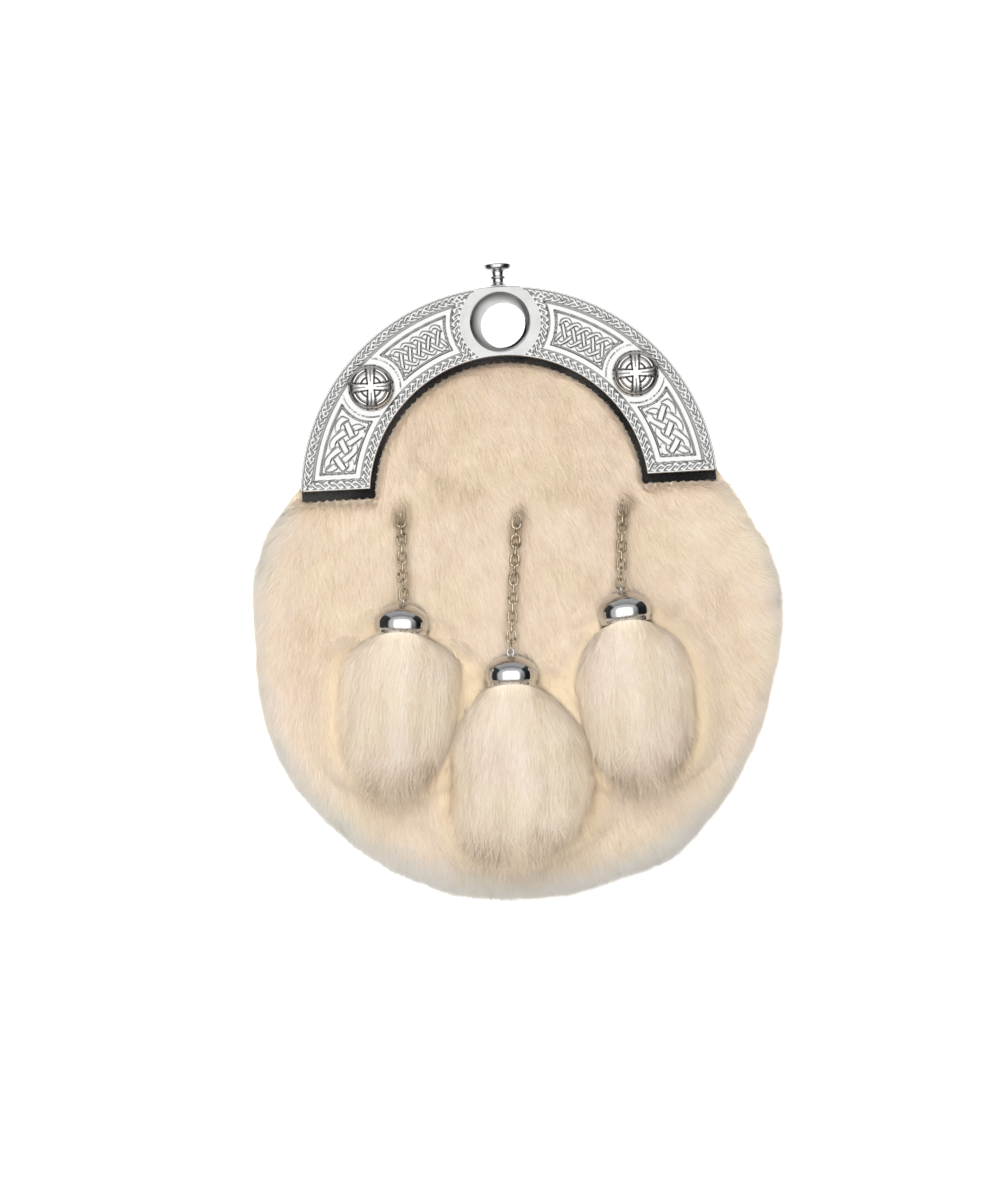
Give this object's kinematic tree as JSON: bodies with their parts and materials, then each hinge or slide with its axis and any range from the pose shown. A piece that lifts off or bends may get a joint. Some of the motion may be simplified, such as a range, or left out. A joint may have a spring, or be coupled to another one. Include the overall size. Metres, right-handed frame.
{
  "type": "sporran pouch",
  "caption": "Full-dress sporran: a leather pouch with a fur front, a cast knotwork cantle with a round hole and a finial, and fur tassels on cable chains.",
  "frame": {"origin": "middle of the object's box, at the height of the surface that its back lies on", "axes": "+X to the right seen from the front, +Y up to the finial, +Z out of the fur front; it lies on its back"},
  "size_m": [0.1988, 0.239, 0.0509],
  "materials": {
    "leather_black": "smooth black, slight sheen, fine grain",
    "fur_cream": "soft cream fur, fine straight hairs",
    "fur_tassel": "soft pale fur with greyer tips",
    "chrome_bright": "polished chrome",
    "chrome_antique": "cast and chromed, polished ornament over dark oxidised recesses",
    "nickel_chain": "warm nickel plate, slightly dull"
  },
  "bodies": {
    "root": {"back_panel": "leather_black", "belt_loop": "leather_black", "boss_left": "chrome_bright", "boss_right": "chrome_bright", "cantle": "chrome_antique", "cantle_backing": "leather_black", "cap_centre": "chrome_bright", "cap_left": "chrome_bright", "cap_right": "chrome_bright", "chain_anchor_centre": "nickel_chain", "chain_anchor_left": "nickel_chain", "chain_anchor_right": "nickel_chain", "chain_centre_link_01": "nickel_chain", "chain_centre_link_02": "nickel_chain", "chain_centre_link_03": "nickel_chain", "chain_centre_link_04": "nickel_chain", "chain_centre_link_05": "nickel_chain", "chain_centre_link_06": "nickel_chain", "chain_centre_link_07": "nickel_chain", "chain_centre_link_08": "nickel_chain", "chain_centre_link_09": "nickel_chain", "chain_centre_link_10": "nickel_chain", "chain_centre_link_11": "nickel_chain", "chain_centre_link_12": "nickel_chain", "chain_centre_link_13": "nickel_chain", "chain_centre_link_14": "nickel_chain", "chain_left_link_01": "nickel_chain", "chain_left_link_02": "nickel_chain", "chain_left_link_03": "nickel_chain", "chain_left_link_04": "nickel_chain", "chain_left_link_05": "nickel_chain", "chain_left_link_06": "nickel_chain", "chain_left_link_07": "nickel_chain", "chain_left_link_08": "nickel_chain", "chain_left_link_09": "nickel_chain", "chain_right_link_01": "nickel_chain", "chain_right_link_02": "nickel_chain", "chain_right_link_03": "nickel_chain", "chain_right_link_04": "nickel_chain", "chain_right_link_05": "nickel_chain", "chain_right_link_06": "nickel_chain", "chain_right_link_07": "nickel_chain", "chain_right_link_08": "nickel_chain", "chain_right_link_09": "nickel_chain", "front_panel": "leather_black", "fur_pelt": "fur_cream", "gusset": "leather_black", "knob": "chrome_bright", "tassel_centre": "fur_tassel", "tassel_left": "fur_tassel", "tassel_right": "fur_tassel"}
  },
  "joints": []
}
